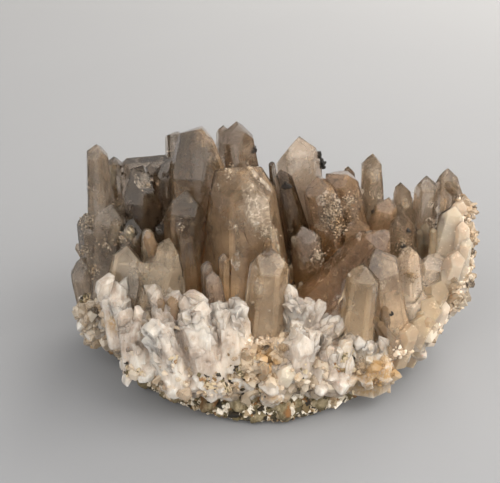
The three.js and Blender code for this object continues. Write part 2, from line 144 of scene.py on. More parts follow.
# Small crystals: pixels of the tip and the foot, and the width.
SMALL_CRYSTALS = {
    "white_points": [
        (305, 337, 298, 364, 6), (316, 311, 304, 327, 1.9), (308, 312, 302, 326, 1.7),
        (313, 321, 302, 330, 1.6), (300, 306, 296, 322, 2), (359, 337, 358, 352, 4),
        (368, 341, 367, 356, 3),
    ],
    "cream_points": [
        (291, 366, 273, 394, 5), (455, 207, 453, 262, 5.4), (447, 214, 446, 256, 4),
        (463, 222, 460, 270, 4.4), (468, 238, 465, 280, 4), (458, 252, 455, 300, 6.4),
        (463, 262, 460, 292, 4.4), (463, 202, 460, 222, 4), (446, 302, 441, 332, 4.4),
    ],
    "wing_points": [
        (450, 266, 448, 312, 7), (442, 282, 440, 324, 7), (434, 298, 431, 338, 7.6),
        (424, 316, 421, 350, 7.4), (412, 326, 410, 356, 5.6), (420, 229, 421, 252, 2.6),
        (426, 223, 427, 250, 3.4), (433, 228, 433, 252, 2.4),
    ],
    "tan_points": [
        (146, 231, 150, 256, 3), (372, 316, 382, 341, 2.6), (378, 322, 386, 340, 2.4),
        (268, 238, 267, 252, 2), (171, 296, 172, 312, 3), (160, 298, 162, 312, 2.6),
        (385, 306, 388, 322, 2.6),
    ],
    "clear_points": [
        (140, 262, 143, 283, 4.2), (113, 163, 115, 190, 2.4), (273, 229, 275, 251, 2.4),
        (116, 219, 118, 245, 3), (128, 226, 130, 246, 3), (236, 225, 238, 240, 1.2),
        (293, 236, 296, 256, 2.4), (287, 240, 288, 258, 2),
    ],
}

# Sizes in millimetres, and shares.
EDGE_WEAR = 0.28  # width of a large crystal's worn edges
SMOOTH_BEND = 14  # degrees; a sharper bend between a crystal's faces is shaded as an edge
HAZE_DEPTH = 1.3  # how far the haze starts below a crystal's faces
HAZE_LIGHT = 1.6  # how much lighter it is than its colours in LOOKS: painted light, for the light that the glass around it keeps out
FACE_HAZE, CORE_HAZE = 0.12, 1.5  # shares of it that a crystal's faces and its core show
BED_FOOT = 8.8  # height above which the bed's lumps and grains grow, clear of the rock
SIDEWAYS = 0.75  # a surface whose normal rises less than this is a side, not a top
BED_VOXEL, ROCK_VOXEL = 0.42, 0.6  # fineness of the bed's and the rock's surface
SHOOT_GROWTH = 0.15  # how much the bed's own crystals grow on each side before they are merged into it
FACES_KEPT = 0.22  # share of the milky crust's faces that stay when it is simplified
CRACK_GAP = 0.12  # thickness of the sheets that stand for healed cracks
YOUNG_COUNT = 170  # slender crystals between the large ones
LEAN_BACK = 0.15  # of the small crystals, per unit of height

# Materials

QUARTZ_IOR = 1.544
SMOKE = (0.62, 0.47, 0.34, 1)  # what clear smoky quartz lets through
TAN = (150, 124, 94)
CREAM = (234, 211, 181)


class Value:
    """A number on its way through a material's nodes. Sums and products with it add Math nodes."""

    def __init__(self, finish, socket):
        self.finish = finish
        self.socket = socket

    def math(self, operation, first, second):
        return self.finish.node("Math", {"operation": operation}, {0: first, 1: second})

    def __add__(self, other):
        return self.math("ADD", self, other)

    def __mul__(self, other):
        return self.math("MULTIPLY", self, other)

    def __sub__(self, other):
        return self.math("SUBTRACT", self, other)

    def __rsub__(self, other):
        return self.math("SUBTRACT", other, self)

    def most(self, other):
        return self.math("MINIMUM", self, other)

    def in_steps(self, rise):
        return self.math("SNAP", self, rise)

    __radd__ = __add__
    __rmul__ = __mul__


class Finish:
    """A material under construction. Sizes are in millimetres."""

    def __init__(self, name):
        self.material = bpy.data.materials.new(name)
        self.material.use_nodes = True
        self.tree = self.material.node_tree
        self.tree.nodes.clear()
        self.output = self.tree.nodes.new("ShaderNodeOutputMaterial")
        self.place = self.node("TexCoord", output="Object")

    def node(self, kind, settings=None, inputs=None, output=0):
        node = self.tree.nodes.new("ShaderNode" + kind)
        for key, value in (settings or {}).items():
            setattr(node, key, value)
        for key, value in (inputs or {}).items():
            if isinstance(value, Value):
                self.tree.links.new(value.socket, node.inputs[key])
            else:
                node.inputs[key].default_value = value
        return Value(self, node.outputs[output])

    def ramp(self, value, stops):
        """Colour for a value: each stop has a place from 0 to 1 and a screen colour."""
        node = self.tree.nodes.new("ShaderNodeValToRGB")
        for _ in stops[2:]:
            node.color_ramp.elements.new(1.0)
        for element, (place, colour) in zip(node.color_ramp.elements, stops):
            element.position = place
            element.color = srgb(*colour)
        self.tree.links.new(value.socket, node.inputs["Fac"])
        return Value(self, node.outputs[0])

    def vector(self, operation, first, second, output=0):
        return self.node("VectorMath", {"operation": operation}, {0: first, 1: second}, output)

    def along(self, axis):
        """Place along an axis of the cluster, in metres."""
        return self.node("SeparateXYZ", None, {0: self.place}, axis)

    def tone(self):
        """Each grain's own number from 0 to 1."""
        return self.node("Attribute", {"attribute_name": "tone"}, None, "Fac")

    def step(self, value, start, end):
        """Rises smoothly from 0 at start to 1 at end."""
        ends = {"Value": value, "From Min": start, "From Max": end}
        return self.node("MapRange", {"interpolation_type": "SMOOTHSTEP"}, ends)

    def noise(self, size, detail=3.0, roughness=0.55, stretch=(1, 1, 1), shift=0.0):
        """Soft noise with features of a size."""
        place = self.vector("MULTIPLY", self.place, [1 / (size * MM * s) for s in stretch])
        place = self.vector("ADD", place, (shift, shift, shift))
        inputs = {"Vector": place, "Scale": 1.0, "Detail": detail, "Roughness": roughness}
        return self.node("TexNoise", None, inputs)

    def dots(self, spacing, start, end):
        """Round dots with soft edges: 1 out to start, as a share of the spacing, and 0 from end on."""
        inputs = {"Vector": self.place, "Scale": 1 / (spacing * MM)}
        return 1 - self.step(self.node("TexVoronoi", None, inputs, "Distance"), start, end)

    def cracks(self, spacing):
        """1 on thin, crooked lines, 0 between them."""
        bend = self.node("TexNoise", None, {"Vector": self.place, "Scale": 900.0, "Detail": 3.0}, 1)
        place = self.vector("ADD", self.place, self.vector("MULTIPLY", bend, [0.9 * spacing * MM] * 3))
        inputs = {"Vector": place, "Scale": 1 / (spacing * MM)}
        edge = self.node("TexVoronoi", {"feature": "DISTANCE_TO_EDGE"}, inputs)
        return 1 - self.step(edge, 0.0, 0.09)

    def haze_colour(self, tip, foot, low):
        cloud = self.step(self.noise(5.0, 3.0, 0.5, shift=7.0), 0.34, 0.68)
        upper = self.mix(cloud, shade(tip, 0.85), shade(tip, 1.2))
        return self.mix(low, upper, self.mix(cloud, shade(foot, 0.88), shade(foot, 1.18)))

    def spotted(self, value, spots, within=None):
        """The value with each spot's amount added to it around the spot, out to a torn, patchy edge."""
        for centre, radius, amount in spots:
            away = self.vector("DISTANCE", self.place, [c * MM for c in centre], "Value")
            torn = self.noise(1.6, 6.0, 0.65, shift=radius) - 0.5
            far = self.step(away + torn * (1.8 * radius * MM), 0.1 * radius * MM, 1.2 * radius * MM)
            spot = (1 - far) * amount
            value = value + (spot * within if within else spot)
        return value

    def near_bed(self, veils):
        """1 in the bed and 0 from 20 mm above its domed top, with a wavy change between."""
        scaled = self.vector("MULTIPLY", self.place, [1 / (reach * MM) for reach in BED_REACH] + [0])
        out = self.vector("DOT_PRODUCT", scaled, scaled, "Value")
        above = self.along("Z") - (BED_TOP * MM - out.most(1.2) * (BED_DROP * MM))
        return 1 - self.step(above + (veils - 0.5) * (8 * MM), 0.0, 20 * MM)

    def mix(self, share, first, second):
        """A colour between two colours."""
        return self.node("Mix", {"data_type": "RGBA"}, {0: share, 6: first, 7: second}, 2)

    def bump(self, height, depth, normal=None):
        inputs = {"Height": height, "Strength": 1.0, "Distance": depth * MM}
        if normal:
            inputs["Normal"] = normal
        return self.node("Bump", None, inputs)

    def surface(self, **inputs):
        return self.node("BsdfPrincipled", None, {k.replace("_", " "): v for k, v in inputs.items()})

    def clear(self, colour, roughness, normal):
        """Quartz that light goes through."""
        return self.surface(
            Base_Color=colour, Roughness=roughness, Transmission_Weight=1.0, IOR=QUARTZ_IOR, Normal=normal,
        )

    def milky(self, colour, roughness, glow, normal):
        """Quartz that light only soaks into."""
        return self.surface(
            Base_Color=colour, Roughness=roughness, IOR=QUARTZ_IOR, Subsurface_Weight=0.8,
            Subsurface_Radius=glow, Subsurface_Scale=0.002, Normal=normal,
        )

    def blend(self, share, first, second):
        """Part of the surface from one shader and part from another."""
        return self.node("MixShader", None, {0: share, 1: first, 2: second})

    def done(self, surface, volume=None):
        self.tree.links.new(surface.socket, self.output.inputs["Surface"])
        if volume:
            self.tree.links.new(volume.socket, self.output.inputs["Volume"])
        return self.material


def srgb(red, green, blue):
    """Linear colour of an 8-bit screen colour."""
    parts = [c / 255 for c in (red, green, blue)]
    return tuple(c / 12.92 if c <= 0.04045 else ((c + 0.055) / 1.055) ** 2.4 for c in parts) + (1,)


def shade(colour, factor):
    """A lighter or darker version of a colour, of the same hue."""
    factor = min(factor, 1 / max(colour[:3]))
    return tuple(c * factor for c in colour[:3]) + (1,)


def smoky_quartz(name, smoke, tip, foot, haze, frost_and_highlight_spots=()):
    """Clear quartz with milky veils. smoke is per metre; tip and foot are screen colours of its haze."""
    f = Finish(name)
    lines = f.noise(1.5, 4.0, 0.6, (5, 5, 0.6))
    grain = f.noise(0.9, 4.0, 0.6)
    veils = f.noise(6.0, 5.0, 0.6, shift=3.0)
    low = f.near_bed(veils)
    wisps = f.step(f.noise(2.6, 6.0, 0.7, shift=1.0), 0.52, 0.68) * f.step(veils, 0.4, 0.6)
    dots = f.dots(1.7, 0.08, 0.14) * f.step(f.noise(8.0, 3.0, shift=15.0), 0.5, 0.6) * 0.6
    cracked = f.cracks(2.6) * 0.4 + 0.6 if frost_and_highlight_spots else None
    # white at the frost spots, which are real frost and in a few places painted highlights
    white = f.spotted(dots, frost_and_highlight_spots, cracked)
    share = (wisps * 0.4 + low * 0.12 + haze + white).most(0.96)
    tint = f.mix(white.most(0.85), f.haze_colour(srgb(*tip), srgb(*foot), low), srgb(222, 210, 194))
    terraces = f.noise(9.0, 3.0, 0.5, (1, 1, 2), 5.0).in_steps(0.06)
    normal = f.bump(terraces, 1.2, f.bump(lines, 0.04))
    clear = f.clear((1.0, 0.95, 0.88, 1), f.step(grain, 0.45, 0.75) * 0.1 + 0.03, normal)
    milky = f.milky(tint, 0.22, (1.0, 0.94, 0.88), normal)
    volume = f.node("VolumeAbsorption", None, {"Color": SMOKE, "Density": smoke})
    return f.done(f.blend(share, clear, milky), volume)


def inner_haze(name, tip, foot, haze, places=()):
    """Cloud inside a smoky crystal, thicker in some places, some of which are painted highlights, with
    painted shade where a place's amount is below 0.
    """
    f = Finish(name)
    tip, foot = shade(srgb(*tip), HAZE_LIGHT), shade(srgb(*foot), HAZE_LIGHT)
    veils = f.noise(7.0, 3.0, 0.5, shift=9.0)
    low = f.near_bed(veils)
    alpha = (f.step(veils, 0.3, 0.7) * 0.35 + low * 0.2 + 0.45) * haze
    # thicker, lighter haze around places: real clouds, and painted highlights on some facets
    alpha = f.spotted(alpha, [place for place in places if place[2] > 0]).most(0.95)
    colour = f.haze_colour(tip, foot, low)
    # painted shade: darker haze around places whose amount is below 0
    dark = [(centre, radius, -1.2 * amount) for centre, radius, amount in places if amount < 0]
    if dark:
        colour = f.mix(f.spotted(0.0, dark).most(0.95), colour, shade(tip, 0.16))
    return f.done(f.surface(Base_Color=colour, Roughness=0.8, Alpha=alpha, Specular_IOR_Level=0.0))


def healed_crack():
    """Thin bright sheet, broken up into wisps."""
    f = Finish("healed cracks")
    wisps = f.step(f.noise(0.9, 4.0, 0.7), 0.42, 0.62) * f.step(f.noise(3.0, 2.0, shift=4.0), 0.4, 0.6)
    colour = srgb(236, 228, 216)
    return f.done(f.surface(Base_Color=colour, Roughness=0.6, Alpha=wisps * 0.8, Specular_IOR_Level=0.0))


def milky_quartz(name, stained=(), clearness=0.4, ridge_light_and_shade=True):
    """White, slightly see-through quartz with yellow stains and fine bright fractures, and unless told
    otherwise a painted highlight on its ridges and painted shade in its hollows.
    """
    f = Finish(name)
    cloud = f.noise(7.0, 3.0, 0.5)
    fine = f.noise(0.8, 4.0, 0.65)
    streaks = f.noise(2.6, 5.0, 0.7, (1, 1, 5))
    stops = [(0.36, (220, 202, 186)), (0.5, (235, 219, 204)), (0.64, (246, 235, 223))]
    colour = f.ramp(cloud, stops)
    colour = f.mix(f.step(streaks, 0.5, 0.7) * 0.3, colour, srgb(252, 246, 238))
    colour = f.mix(f.cracks(3.4) * f.step(fine, 0.4, 0.6) * 0.4, colour, srgb(255, 252, 246))
    stain = f.step(f.noise(9.0, 5.0, 0.65, shift=11.0), 0.6, 0.74) * f.step(fine, 0.35, 0.6) * 0.5
    stain = f.spotted(stain, stained, f.step(fine, 0.3, 0.6))
    colour = f.mix(stain.most(0.85), colour, srgb(214, 172, 106))
    low = 1 - f.step(f.along("Z") + (cloud - 0.5) * (7 * MM), 7 * MM, 13 * MM)
    colour = f.mix(low * 0.6, colour, srgb(156, 138, 108))
    specks = f.step(f.noise(1.3, 2.0, 0.5, shift=21.0), 0.75, 0.78)
    colour = f.mix(specks * 0.8, colour, srgb(60, 52, 44))
    if ridge_light_and_shade:
        # painted highlight on convex ridges and painted shade in the hollows between crystals
        ridge = f.node("NewGeometry", output="Pointiness")
        colour = f.mix(f.step(ridge, 0.5, 0.58) * 0.6, colour, srgb(252, 246, 238))
        colour = f.mix((1 - f.step(ridge, 0.4, 0.5)) * 0.22, colour, srgb(170, 150, 126))
    normal = f.bump(fine, 0.1, f.bump(streaks, 0.1))
    milky = f.milky(colour, 0.25, (1.0, 0.95, 0.9), normal)
    clear = f.clear((0.98, 0.92, 0.85, 1), 0.08, normal)
    share = f.step(cloud, 0.36, 0.6) * 0.15 + f.step(streaks, 0.4, 0.6) * 0.15 + (0.8 - clearness)
    return f.done(f.blend(share, clear, milky))


def druse_quartz(name, low_colour, high_colour, milkiness, stained=(), dark_share=0.0):
    """Grains of quartz, each with its own tone. A few of them may be dark."""
    f = Finish(name)
    tone = f.tone()
    colour = f.mix(tone, srgb(*low_colour), srgb(*high_colour))
    stain = f.spotted(f.step(f.noise(7.0, 5.0, 0.65, shift=11.0), 0.52, 0.68) * 0.5, stained)
    colour = f.mix(stain.most(0.85), colour, srgb(214, 168, 100))
    if dark_share:
        colour = f.mix(1 - f.step(tone, dark_share, dark_share + 0.01), colour, srgb(86, 66, 44))
    low = 1 - f.step(f.along("Z") + (f.noise(4.0) - 0.5) * (6 * MM), 8 * MM, 13 * MM)
    colour = f.mix(low * 0.5, colour, srgb(150, 128, 96))
    # painted shade: cooler and darker towards the left end
    left_end_shade = 1 - f.step(f.along("X"), -48 * MM, -34 * MM)
    colour = f.mix(left_end_shade * 0.25, colour, srgb(168, 157, 144))
    normal = f.bump(f.noise(0.7, 3.0), 0.05)
    white = f.surface(Base_Color=colour, Roughness=0.3, IOR=QUARTZ_IOR, Normal=normal)
    clear = f.clear((0.97, 0.94, 0.88, 1), 0.08, normal)
    return f.done(f.blend(tone * 0.4 + milkiness, clear, white))


def host_rock(rusty_places):
    """Grey-green crust with dark and rusty spots."""
    f = Finish("host rock")
    spots = f.noise(1.6, 4.0, 0.6, shift=4.0)
    stops = [(0.32, (64, 54, 38)), (0.45, (118, 106, 78)), (0.58, (160, 148, 122)), (0.7, (200, 188, 164))]
    colour = f.ramp(f.noise(4.0, 6.0, 0.7), stops)
    rust = f.spotted(f.step(f.noise(6.0, 5.0, 0.7, shift=9.0), 0.5, 0.66), rusty_places)
    colour = f.mix(rust.most(0.8), colour, srgb(134, 90, 48))
    colour = f.mix(f.step(spots, 0.62, 0.7), colour, srgb(30, 28, 24))
    normal = f.bump(f.noise(0.7, 5.0, 0.7), 0.3)
    return f.done(f.surface(Base_Color=colour, Roughness=0.85, Normal=normal))


def rock_grains(name, white):
    """Dark, olive, rusty and pale grains."""
    f = Finish(name)
    olive = (104, 94, 66)
    stops = [(0.1, (38, 33, 25)), (0.24, olive), (0.42, olive), (0.5, (140, 98, 54))]
    stops += [(0.62, (190, 174, 146)), (0.96, white)]
    colour = f.ramp(f.tone(), stops)
    colour = f.mix(f.step(f.noise(0.8, 4.0), 0.45, 0.7) * 0.4, colour, srgb(84, 74, 52))
    normal = f.bump(f.noise(0.4, 3.0), 0.1)
    return f.done(f.surface(Base_Color=colour, Roughness=0.6, IOR=1.5, Normal=normal))


def black_mineral():
    f = Finish("black mineral")
    colour = f.mix(f.noise(0.6, 3.0), srgb(16, 15, 14), srgb(52, 48, 44))
    return f.done(f.surface(Base_Color=colour, Roughness=0.5))


def floor_paper():
    """Pale grey paper, with painted light that makes it a little lighter towards the back."""
    f = Finish("floor paper")
    # painted light: lighter towards the back and a little to the right
    far = f.step(f.along("Y") * 0.8 + f.along("X") * 0.15, -0.15, 0.6)
    colour = f.mix(far + (f.noise(120.0, 2.0) - 0.5) * 0.1, srgb(141, 143, 147), srgb(170, 171, 173))
    return f.done(f.surface(Base_Color=colour, Roughness=0.9))


# Shapes

WORD = 0xFFFFFFFF


def repeatable(seed):
    """The same small random numbers as the solids were made with."""
    state = seed * 2654435761 & WORD
    while True:
        state = state + 0x6D2B79F5 & WORD
        t = (state ^ state >> 15) * (1 | state) & WORD
        t = (t + ((t ^ t >> 7) * (61 | t) & WORD) & WORD) ^ t
        yield ((t ^ t >> 14) & WORD) / 4294967296


FACE_SLOPE = math.radians(51.8)  # of a quartz point's faces
TAPER = 0.055
FOOT_DEPTH = 4  # how far a crystal goes on below its foot


def level(angle):
    """Level direction at an angle around Z."""
    return Vector((math.cos(angle), math.sin(angle), 0))


def line(foot, tip):
    """Direction and length of a line."""
    way = Vector(tip) - Vector(foot)
    return way.normalized(), way.length


def beside(axis, rng):
    """Random direction square to an axis."""
    out = level(rng.uniform(0, 2 * math.pi))
    return (out - axis * out.dot(axis)).normalized()


def sway(rng, spread, height=0):
    """Vector of a height, with a random level part."""
    return Vector((rng.gauss(0, spread), rng.gauss(0, spread), height))


def jitter(rng, level_spread=1.0, spread=None, height=0.0):
    """Random vector that points anywhere. Its height may have its own spread and mean."""
    spread = level_spread if spread is None else spread
    return Vector((rng.gauss(0, level_spread), rng.gauss(0, level_spread), rng.gauss(height, spread)))


def point_face(side):
    """Normal of the face of a quartz point above one of its sides."""
    return side * math.sin(FACE_SLOPE) + UP * math.cos(FACE_SLOPE)


def crystal_planes(foot, tip, width, turn, broken=0, grow=0.0):
    """Points and normals of one quartz crystal's planes, in millimetres."""
    random_number = repeatable(round(abs(70 * tip[0] + 10 * tip[2])) + 1)
    axis, length = line(foot, tip)
    length += FOOT_DEPTH
    start = Vector(foot) - FOOT_DEPTH * axis
    turned = UP.rotation_difference(axis) @ Quaternion(UP, math.radians(turn))
    planes = []

    def add(normal, point, out):
        n = turned @ normal.normalized()
        planes.append((turned @ point + start + (out + grow) * n, n))

    for k in range(6):
        side = level(k * math.pi / 3)
        reach = width / 2 * (1 + 0.28 * (next(random_number) - 0.5))
        add(side + UP * TAPER, side * reach + UP * (length / 2), 0)
        share = next(random_number)
        if k % 2 == 0:
            add(point_face(side), UP * length, width * (0.07 * share))
    if broken > 0:
        lean = 2 * math.pi * next(random_number)
        add(Vector((0.3 * math.cos(lean), 0.3 * math.sin(lean), 1)), UP * (length - broken), 0)
    add(-UP, Vector(), 0)
    return planes


def cut(bm, point, normal, **rest):
    """Cuts a bmesh along a plane."""
    geometry = bm.verts[:] + bm.edges[:] + bm.faces[:]
    return bmesh.ops.bisect_plane(bm, geom=geometry, plane_co=point, plane_no=normal, **rest)["geom_cut"]


def solid_inside(planes, reach=60):
    """Convex solid inside every plane, as a bmesh in millimetres."""
    bm = bmesh.new()
    centre = sum((p for p, n in planes), Vector()) / len(planes)
    bmesh.ops.create_cube(bm, size=2 * reach, matrix=Matrix.Translation(centre))
    for point, normal in planes:
        edges = [e for e in cut(bm, point, normal, clear_outer=True) if isinstance(e, bmesh.types.BMEdge)]
        if len(edges) > 2:
            bmesh.ops.contextual_create(bm, geom=edges)
    return bm


def cut_finely(bm, cell):
    """Cuts every face along a grid, so that it can carry relief. The shape stays."""
    bm.verts.ensure_lookup_table()
    points = np.array([v.co for v in bm.verts])
    for axis in range(3):
        normal = Vector((0, 0, 0))
        normal[axis] = 1
        low, high = points[:, axis].min(), points[:, axis].max()
        for at in np.arange(low + cell * 0.6, high, cell):
            cut(bm, normal * at, normal)


def lattice(points, seed):
    """Repeatable random number for each whole-number point of space."""
    i = points.astype(np.int64)
    h = (i[:, 0] * 73856093) ^ (i[:, 1] * 19349663) ^ (i[:, 2] * 83492791) ^ (seed * 2654435761)
    h = (h ^ (h >> 13)) * 1274126177 & WORD
    h = (h ^ (h >> 16)) * 2246822519 & WORD
    return ((h ^ (h >> 15)) & WORD) / WORD


def relief(points, size, seed=0, octaves=3):
    """Smooth noise from about -1 to 1, with features of a size."""
    total = np.zeros(len(points))
    strength = 1.0
    for octave in range(octaves):
        p = points / size * 2**octave + 31.7 * octave
        base = np.floor(p)
        t = p - base
        t = t * t * (3 - 2 * t)
        value = np.zeros(len(points))
        for corner in range(8):
            step = np.array([corner & 1, corner >> 1 & 1, corner >> 2 & 1])
            weight = np.prod(np.where(step, t, 1 - t), axis=1)
            value += weight * lattice(base + step, seed + octave)
        total += strength * (2 * value - 1)
        strength *= 0.5
    return total


def triples(rows, key):
    values = np.empty(len(rows) * 3)
    rows.foreach_get(key, values)
    return values.reshape(-1, 3)


def coordinates(mesh):
    return triples(mesh.vertices, "co")


def vertex_normals(mesh):
    return triples(mesh.vertex_normals, "vector")


def put_coordinates(mesh, points):
    mesh.vertices.foreach_set("co", points.ravel())
    mesh.update()


def new_piece(name, mesh, slot, finish, *stands_for):
    """A piece of the cluster on its only body."""
    mesh.name = name
    piece = bpy.data.objects.new(name, mesh)
    scene.collection.objects.link(piece)
    mesh.materials.clear()
    mesh.materials.append(finish)
    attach(piece, "root")
    if stands_for:
        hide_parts(*stands_for)
    return piece


def with_modifier(mesh, kind, **settings):
    """The mesh, which it uses up, after one of Blender's modifiers."""
    piece = bpy.data.objects.new("whole", mesh)
    scene.collection.objects.link(piece)
    modifier = piece.modifiers.new(kind, kind)
    for key, value in settings.items():
        setattr(modifier, key, value)
    result = bpy.data.meshes.new_from_object(piece.evaluated_get(bpy.context.evaluated_depsgraph_get()))
    bpy.data.objects.remove(piece)
    bpy.data.meshes.remove(mesh)
    return result


def mesh_from(bm):
    """The mesh of a bmesh, which it uses up."""
    mesh = bpy.data.meshes.new("part")
    bm.to_mesh(mesh)
    bm.free()
    return mesh


def joined(meshes, scale=1.0):
    """One mesh of several, which it uses up."""
    bm = bmesh.new()
    for mesh in meshes:
        bm.from_mesh(mesh)
        bpy.data.meshes.remove(mesh)
    bmesh.ops.scale(bm, vec=(scale, scale, scale), verts=bm.verts)
    return mesh_from(bm)


def remeshed(meshes, voxel):
    """Even, closed mesh around several meshes, which it uses up. In metres; the voxel is in millimetres."""
    return with_modifier(joined(meshes), "REMESH", mode="VOXEL", voxel_size=voxel * MM)


def shape_arrays(bm):
    """Points and faces of a bmesh, which it uses up."""
    bm.verts.index_update()
    bm.verts.ensure_lookup_table()
    shape = np.array([v.co for v in bm.verts]), [[v.index for v in f.verts] for f in bm.faces]
    bm.free()
    return shape


def small_points(count, seed, length=1.5):
    """A few stubby quartz points of width 1, foot at the origin."""
    shapes = []
    rng = random.Random(seed)
    for _ in range(count):
        tall = length * rng.uniform(0.6, 1.3)
        planes = [(-0.5 * UP, -UP)]
        for k in range(6):
            side = level(k * math.pi / 3)
            planes.append((side * rng.uniform(0.38, 0.56), (side + UP * rng.uniform(0, 0.12)).normalized()))
            if k % 2 == 0 or rng.random() < 0.4:
                face = point_face(side)
                planes.append((UP * tall + face * rng.uniform(0, 0.2), face.normalized()))
        shapes.append(shape_arrays(solid_inside(planes, 20)))
    return shapes


def small_chips(count, seed, faces=13):
    """Angular little lumps about 1 across."""
    shapes = []
    rng = random.Random(seed)
    box = [(0.6 * sign * axis, sign * axis) for axis in Matrix.Identity(3) for sign in (-1, 1)]
    for _ in range(count):
        planes = []
        for _ in range(faces):
            n = jitter(rng).normalized()
            planes.append((n * rng.uniform(0.38, 0.54), n))
        shapes.append(shape_arrays(solid_inside(planes + box, 4)))
    return shapes


def grain(rng, number, point, direction, width, length):
    """Placement of a copy: shape number, point, direction, width, length, random turn and tone."""
    return number, point, direction, width, length, rng.uniform(0, 6), rng.random()


def scattered(shapes, placements):
    """One mesh of many copies of some shapes, from the placements that grain makes."""
    vertices, faces, tones = [], [], []
    count = 0
    for number, point, direction, width, length, turn, tone in placements:
        points, loops = shapes[number % len(shapes)]
        turned = UP.rotation_difference(direction) @ Quaternion(UP, turn)
        matrix = np.array(turned.to_matrix()) @ np.diag([width, width, length])
        vertices.append(points @ matrix.T + np.array(point))
        faces += [[i + count for i in loop] for loop in loops]
        tones.append(np.full(len(points), tone))
        count += len(points)
    points = np.concatenate(vertices) * MM
    points[:, 2] = np.maximum(points[:, 2], 0)  # nothing reaches below the flat underside
    mesh = bpy.data.meshes.new("grains")
    mesh.from_pydata(points.tolist(), [], faces)
    mesh.validate()
    attribute = mesh.attributes.new("tone", "FLOAT", "POINT")
    attribute.data.foreach_set("value", np.concatenate(tones))
    return mesh


def tree_of(names):
    """Search tree over the surfaces of some CAD nodes, in millimetres, and the node of each face."""
    points, faces, owners = [], [], []
    count = 0
    for name in names:
        mesh = nodes[name].data
        points += [v.co / MM for v in mesh.vertices]
        faces += [[i + count for i in p.vertices] for p in mesh.polygons]
        owners += [name] * len(mesh.polygons)
        count += len(mesh.vertices)
    return BVHTree.FromPolygons(points, faces), owners


NEARLY_UP = Vector((0.03, 0.02, 1))  # slanted a little, so that no ray runs along a crystal's side
MOST_HITS = 12

crystal_names = sorted(set(nodes) - {BED_NODE, ROCK_NODE})
all_tree, all_owners = tree_of(sorted(nodes))
crystal_tree, _ = tree_of(crystal_names)


def ray_at(u, v):
    """Direction of a pixel of the photograph from the camera."""
    across = Vector((1, 0, 0)) * ((u - PHOTO_WIDTH / 2) / PHOTO_WIDTH)
    up = ABOVE * ((PHOTO_HEIGHT / 2 - v) / PHOTO_WIDTH)
    return (AHEAD + (across + up) * (SENSOR / LENS)).normalized()


def seen_at(u, v):
    """Point, normal and CAD node at a pixel of the photograph, or None."""
    point, normal, face, _ = all_tree.ray_cast(EYE, ray_at(u, v))
    return (point, normal, all_owners[face]) if point else None


def seen_near(u, v):
    """What is seen at a pixel of the photograph, or else at the closest pixel that shows the cluster."""
    for radius in range(24):
        for k in range(8 if radius else 1):
            angle = k * math.pi / 4
            found = seen_at(u + 0.7 * radius * math.cos(angle), v + 0.7 * radius * math.sin(angle))
            if found:
                return found


def spots_on(rows):
    """The spots at some pixels of the photograph as points in millimetres, by their CAD node."""
    spots = {}
    for u, v, radius, amount in rows:
        point, _, node = seen_near(u, v)
        spots.setdefault(node, []).append((tuple(point), radius, amount))
    return spots


def inside_crystal(point):
    """Whether a point lies in a smoky crystal: a ray from it then leaves more crystals than it enters."""
    hits = 0
    start = Vector(point)
    while hits < MOST_HITS:
        hit, _, _, _ = crystal_tree.ray_cast(start, NEARLY_UP)
        if hit is None:
            break
        hits += 1
        start = hit + NEARLY_UP * 1e-3
    return hits % 2 == 1


def surface_samples(node, count, seed):
    """Pairs of a random point of a CAD node's surface, in millimetres, and its normal."""
    mesh = nodes[node].data
    mesh.calc_loop_triangles()
    corners = coordinates(mesh) / MM
    triangles = np.array([t.vertices[:] for t in mesh.loop_triangles])
    a, b, c = (corners[triangles[:, k]] for k in range(3))
    cross = np.cross(b - a, c - a)
    area = np.linalg.norm(cross, axis=1)
    rng = np.random.default_rng(seed)
    chosen = rng.choice(len(area), count, p=area / area.sum())
    s, t = rng.random(count), rng.random(count)
    flip = s + t > 1
    s, t = np.where(flip, 1 - s, s)[:, None], np.where(flip, 1 - t, t)[:, None]
    points = a[chosen] + s * (b - a)[chosen] + t * (c - a)[chosen]
    return list(zip(points, cross[chosen] / area[chosen, None]))


def lumps_on(node, count, seed, sizes, kept):
    """Angular lumps set into a CAD node's surface, as one mesh."""
    rng = random.Random(seed)
    placements = []
    for i, (point, normal) in enumerate(surface_samples(node, count, seed)):
        if kept(point, normal):
            size = rng.uniform(*sizes)
            direction = jitter(rng).normalized()
            height = size * rng.uniform(0.7, 1.1)
            placements.append((i, point, direction, size, height, rng.uniform(0, 6), 0.0))
    return scattered(small_chips(12, seed), placements)


def with_side_shoots(row, rng):
    """A crystal and the thinner ones that grew along its sides."""
    foot, tip, width = row[:3]
    yield row
    axis, _ = line(foot, tip)
    for _ in range(round(width * 1.4)):
        out = (level(rng.uniform(0, 2 * math.pi)) - axis * 0.2).normalized() * width
        lean = sway(rng, 0.5)
        start = Vector(foot) + 0.32 * out + axis * rng.uniform(1, 5)
        end = Vector(tip) + 0.36 * out - axis * width * rng.uniform(0.2, 1.4) + lean
        yield start, end, width * rng.uniform(0.22, 0.46), rng.uniform(0, 60), rng.uniform(0, 1.6)


